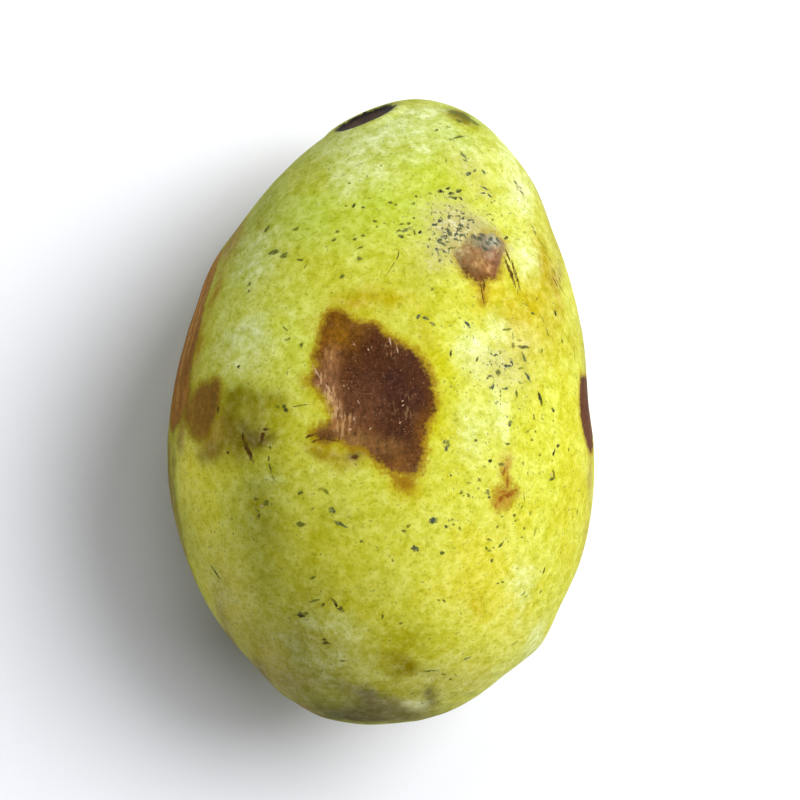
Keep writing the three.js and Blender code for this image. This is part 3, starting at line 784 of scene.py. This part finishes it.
corner_fleck = np.repeat(face_fleck, face_size)
corner_reach = np.array(fleck_reaches)[corner_fleck]
corner_offset = plain_mm[corner_vertex] - np.array(fleck_centres)[corner_fleck]
corner_place = np.einsum("ij,ijk->ik", corner_offset, np.array(fleck_axes)[corner_fleck]) / corner_reach
slimness = corner_reach[:, 1] / corner_reach[:, 0]
store("fleck_place", "FLOAT_VECTOR", "CORNER", np.column_stack([corner_place, slimness]))
store("fleck_colour", "FLOAT_COLOR", "CORNER", np.array(fleck_colours)[corner_fleck])

# -----------------------------------------------------------------------------
# The finish: a living skin, thin and matte, its yellow-green broken by a pale wax bloom that sits in tiny
# clouds, with a soft waxy sheen and a fine pebbled grain. Bruises are dry, duller and grainier.
ripe_skin = bpy.data.materials.new("waxy_pawpaw_skin")
ripe_skin.use_nodes = True
tree = ripe_skin.node_tree


def add_node(kind, inputs, output=0, **settings):
    """Adds a node of a kind with its settings and its inputs, each a value or another node's output, and
    gives one of its own outputs."""
    node = tree.nodes.new(kind)
    for name, value in settings.items():
        setattr(node, name, value)
    for key, value in inputs.items():
        if isinstance(value, bpy.types.NodeSocket):
            tree.links.new(value, node.inputs[key])
        else:
            node.inputs[key].default_value = value
    return node.outputs[output]


# the stored marks by name; bareness is 0 where a bruise covers the skin fully and negative where it is thin
MARKS = (
    ("bruise_marks", ("depth", "bareness", "scraped")),
    ("skin_marks", ("wax", "scurf", "peppered")),
    ("fleck_place", ("fleck_along", "fleck_across", "slimness")),
)
pattern = {"everywhere": 1.0}
for name, parts in MARKS:
    mark = add_node("ShaderNodeAttribute", {}, "Vector", attribute_name=name)
    for axis, part in enumerate(parts):
        pattern[part] = add_node("ShaderNodeSeparateXYZ", {0: mark}, axis)
pattern["fringe"] = add_node("ShaderNodeAttribute", {}, "Alpha", attribute_name="bruise_colour")

# the scraped fibres lie aslant and the strands of the bruises lengthwise, both drawn out some four times
FIBRE_TURN = (0, 0, 0.55)
FIBRE_STRETCH = (1.0, 0.22, 1.0)
STRAND_STRETCH = (1.0, 0.25, 1.0)
place = add_node("ShaderNodeTexCoord", {}, "Object")
aslant = add_node("ShaderNodeMapping", {"Vector": place, "Rotation": FIBRE_TURN, "Scale": FIBRE_STRETCH})
lengthwise = add_node("ShaderNodeMapping", {"Vector": place, "Scale": STRAND_STRETCH})

# fractal noises around 0.5: name, width of the largest swells in millimetres, octaves, roughness, how much
# they are swirled, and the place that they are laid on
NOISES = (
    ("clouds", 7.0, 4, 0.6, 0.3, place),
    ("bloom", 1.5, 5, 0.68, 0.2, place),
    ("pores", 0.55, 2, 0.6, 0, place),
    ("specks", 0.75, 2, 0.6, 0, place),
    ("scales", 0.9, 4, 0.65, 0.3, place),
    ("seams", 0.65, 4, 0.7, 0.4, place),
    ("swarms", 2.6, 2, 0.6, 0, place),
    ("ragged", 2.4, 6, 0.7, 0, place),
    ("nap", 0.5, 2, 0.6, 0, place),
    ("thin", 0.9, 4, 0.7, 0, place),
    ("grit", 0.8, 4, 0.7, 0, place),
    ("dots", 0.32, 2, 0.6, 0, place),
    ("fibres", 0.45, 3, 0.6, 0, aslant),
    ("strands", 0.5, 3, 0.6, 0, lengthwise),
    ("fray", 0.5, 3, 0.65, 0, place),
    ("bend", 0.6, 3, 0.65, 0, place),
    ("grain", 0.9, 3, 0.6, 0, place),
)
for name, width, octaves, roughness, swirl, laid in NOISES:
    pattern[name] = add_node("ShaderNodeTexNoise", {
        "Vector": laid, "Scale": 1 / (width * MM),
        "Detail": octaves, "Roughness": roughness, "Distortion": swirl,
    })

# patterns made from others, each the first times the second plus the third
SUMS = (
    ("speck_peaks", "peppered", 0.09, "specks"),
    ("crowded_seams", "swarms", 0.16, "seams"),
    ("seam_peaks", "scurf", 0.12, "crowded_seams"),
    ("scurfy", "scurf", 3.0, 0.0),
    ("fibre_peaks", "scraped", 0.14, "fibres"),
    ("grit_peaks", "swarms", 0.14, "dots"),
    ("wavy_depth", "ragged", 2.6, "depth"),
    ("edge", "nap", 1.6, "wavy_depth"),
    ("cover", "bareness", "thin", 1.0),
    ("fibrous", "fibres", 0.8, -0.75),
    ("stranded", "strands", 0.6, "fibrous"),
    ("mottled", "grit", 1.9, "stranded"),
    ("fleck_fray", "fray", 3.6, -1.8),
    ("frayed_along", "fleck_fray", "slimness", "fleck_along"),
    ("fleck_bend", "bend", 3.6, -1.8),
    ("bent_across", "fleck_bend", 1.0, "fleck_across"),
    ("faint", "thin", 2.4, -0.35),
)
for name, *parts in SUMS:
    inputs = {key: pattern.get(part, part) for key, part in enumerate(parts)}
    pattern[name] = add_node("ShaderNodeMath", inputs, operation="MULTIPLY_ADD")
fleck_spot = add_node("ShaderNodeCombineXYZ", {0: pattern["frayed_along"], 1: pattern["bent_across"]})
pattern["fleck_rim"] = add_node("ShaderNodeVectorMath", {0: fleck_spot}, "Value", operation="LENGTH")

tints = {name: add_node("ShaderNodeAttribute", {}, "Color", attribute_name=name)
         for name in ("skin_colour", "bruise_colour", "fleck_colour")}
tints["mottled_bruise"] = add_node(
    "ShaderNodeVectorMath", {0: tints["bruise_colour"], "Scale": pattern["mottled"]}, operation="SCALE"
)

# what lies over the grown colour, one on the other: its name, its pattern, where the pattern starts to show
# it and where it is full, how strong it is there, where on the fruit it is, its colour, and how it blends
LAYERS = (
    ("clouded", "clouds", 0.42, 0.62, 0.3, "wax", "#d8dc9c", "MIX"),
    ("ripened", "clouds", 0.54, 0.4, 0.42, "everywhere", "#f4ed95", "MULTIPLY"),
    ("deepened", "bloom", 0.54, 0.34, 0.78, "everywhere", "#e4e494", "MULTIPLY"),
    ("lit", "bloom", 0.5, 0.68, 0.45, "everywhere", "#dee1f0", "SOFT_LIGHT"),
    ("waxed", "bloom", 0.46, 0.7, 0.34, "wax", "#e9eccb", "MIX"),
    ("pitted", "pores", 0.52, 0.68, 0.42, "everywhere", "#b4b450", "MULTIPLY"),
    ("specked", "speck_peaks", 0.68, 0.75, 0.7, "everywhere", "#5c601f", "MIX"),
    ("fringed", "edge", -0.1, 2.0, 1.0, "fringe", "#a89e0a", "MIX"),
    ("rusted", "edge", 0.9, 2.0, 1.6, "fringe", "#83600e", "MIX"),
    ("bruised", "edge", 1.8, 2.7, 1.0, "cover", "mottled_bruise", "MIX"),
    ("scuffed", "fibre_peaks", 0.56, 0.74, 0.8, "scraped", "#b99868", "MIX"),
    ("filmed", "scales", 0.25, 0.5, 0.95, "scurf", "#a39c64", "MIX"),
    ("scaly", "scales", 0.5, 0.66, 0.7, "scurf", "#c4bf9a", "MIX"),
    ("cracked", "seam_peaks", 0.725, 0.81, 0.7, "scurfy", "#4e533c", "MIX"),
    ("gritty", "grit_peaks", 0.67, 0.78, 0.45, "bruised", "#8f6b4e", "MIX"),
    ("flecked", "fleck_rim", 1.5, 0.7, 1.0, "faint", "fleck_colour", "MIX"),
)
colour = tints["skin_colour"]
for name, shown_by, start, full, strength, where, tint, blend in LAYERS:
    shown = add_node(
        "ShaderNodeMapRange", {0: pattern[shown_by], 1: start, 2: full, 4: strength},
        interpolation_type="SMOOTHSTEP",
    )
    pattern[name] = add_node("ShaderNodeMath", {0: shown, 1: pattern[where]}, operation="MULTIPLY")
    colour = add_node(
        "ShaderNodeMix", {0: pattern[name], 6: colour, 7: tints.get(tint) or (*linear(tint), 1)}, 2,
        data_type="RGBA", blend_type=blend,
    )

# the pebbled grain, rougher in the bruises, with the flecks standing just proud and the cracks sunk
GRAIN_HEIGHT = 0.05 * MM
GRAIN_STRENGTH = 0.6
FLECK_HEIGHT = 0.4  # as a share of the grain's
height = add_node(
    "ShaderNodeMath",
    {0: pattern["bruised"], 1: pattern["grit"], 2: pattern["grain"]},
    operation="MULTIPLY_ADD",
)
height = add_node(
    "ShaderNodeMath", {0: pattern["flecked"], 1: FLECK_HEIGHT, 2: height}, operation="MULTIPLY_ADD"
)
height = add_node("ShaderNodeMath", {0: height, 1: pattern["cracked"]}, operation="SUBTRACT")
relief_normal = add_node(
    "ShaderNodeBump", {"Height": height, "Strength": GRAIN_STRENGTH, "Distance": GRAIN_HEIGHT}
)

# the wax is a little glossier between its flakes, where the bloom is low
LOW_BLOOM = 0.3
HIGH_BLOOM = 0.7
BARE_ROUGHNESS = 0.5
WAX_ROUGHNESS = 0.66
gloss = add_node("ShaderNodeMapRange", {
    0: pattern["bloom"], 1: LOW_BLOOM, 2: HIGH_BLOOM, 3: BARE_ROUGHNESS, 4: WAX_ROUGHNESS,
})

WAX_IOR = 1.4
WAX_SPECULAR = 0.03
skin_shader = tree.nodes["Principled BSDF"]
skin_shader.inputs["IOR"].default_value = WAX_IOR
skin_shader.inputs["Specular IOR Level"].default_value = WAX_SPECULAR
tree.links.new(colour, skin_shader.inputs["Base Color"])
tree.links.new(gloss, skin_shader.inputs["Roughness"])
tree.links.new(relief_normal, skin_shader.inputs["Normal"])
fruit_mesh.materials.append(ripe_skin)

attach(pawpaw_skin, "root")
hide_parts("pawpaw_fruit")

# -----------------------------------------------------------------------------
# The table, painted matt white, and the light in a dark room: a broad soft box high on the right, dimmer
# ones to the right, behind and overhead, and a low card on each side that lifts the flanks.
TABLE_HALF = 3.0
TABLE_WHITE = "#e4e5eb"
PAINT_ROUGHNESS = 0.9

table_mesh = bpy.data.meshes.new("table")
corners = [(x * TABLE_HALF, y * TABLE_HALF, 0) for x, y in ((-1, -1), (1, -1), (1, 1), (-1, 1))]
table_mesh.from_pydata(corners, [], [(0, 1, 2, 3)])
table = bpy.data.objects.new("table", table_mesh)
bpy.context.scene.collection.objects.link(table)
table_white = bpy.data.materials.new("matt_white_paint")
table_white.use_nodes = True
table_shader = table_white.node_tree.nodes["Principled BSDF"]
table_shader.inputs["Base Color"].default_value = (*linear(TABLE_WHITE), 1)
table_shader.inputs["Roughness"].default_value = PAINT_ROUGHNESS
table_shader.inputs["Specular IOR Level"].default_value = 0.0
table_mesh.materials.append(table_white)

# name, compass angle from +X towards +Y, height angle, power
LIGHTS = (
    ("large_soft_box", 30, 50, 23.8),
    ("right_soft_box", 0, 50, 7.6),
    ("back_soft_box", 90, 50, 7.2),
    ("low_right_card", -30, 10, 7.3),
    ("low_left_card", 182, 4, 5.2),
    ("top_soft_box", 20, 72, 3.5),
)
LIGHT_DISTANCE = 1.5
LIGHT_DIAMETER = 0.92
for name, compass, rise, power in LIGHTS:
    lamp = bpy.data.lights.new(name, "AREA")
    lamp.shape = "DISK"
    lamp.size = LIGHT_DIAMETER
    lamp.energy = power
    holder = bpy.data.objects.new(name, lamp)
    compass, rise = np.radians(compass), np.radians(rise)
    towards = np.array([np.cos(rise) * np.cos(compass), np.cos(rise) * np.sin(compass), np.sin(rise)])
    holder.location = towards * LIGHT_DISTANCE
    holder.rotation_euler = (np.pi / 2 - rise, 0, compass + np.pi / 2)
    bpy.context.scene.collection.objects.link(holder)

room = bpy.data.worlds.new("dark_room")
room.use_nodes = True
room.node_tree.nodes["Background"].inputs["Strength"].default_value = 0.0
bpy.context.scene.world = room

bpy.context.scene.view_settings.view_transform = "Standard"
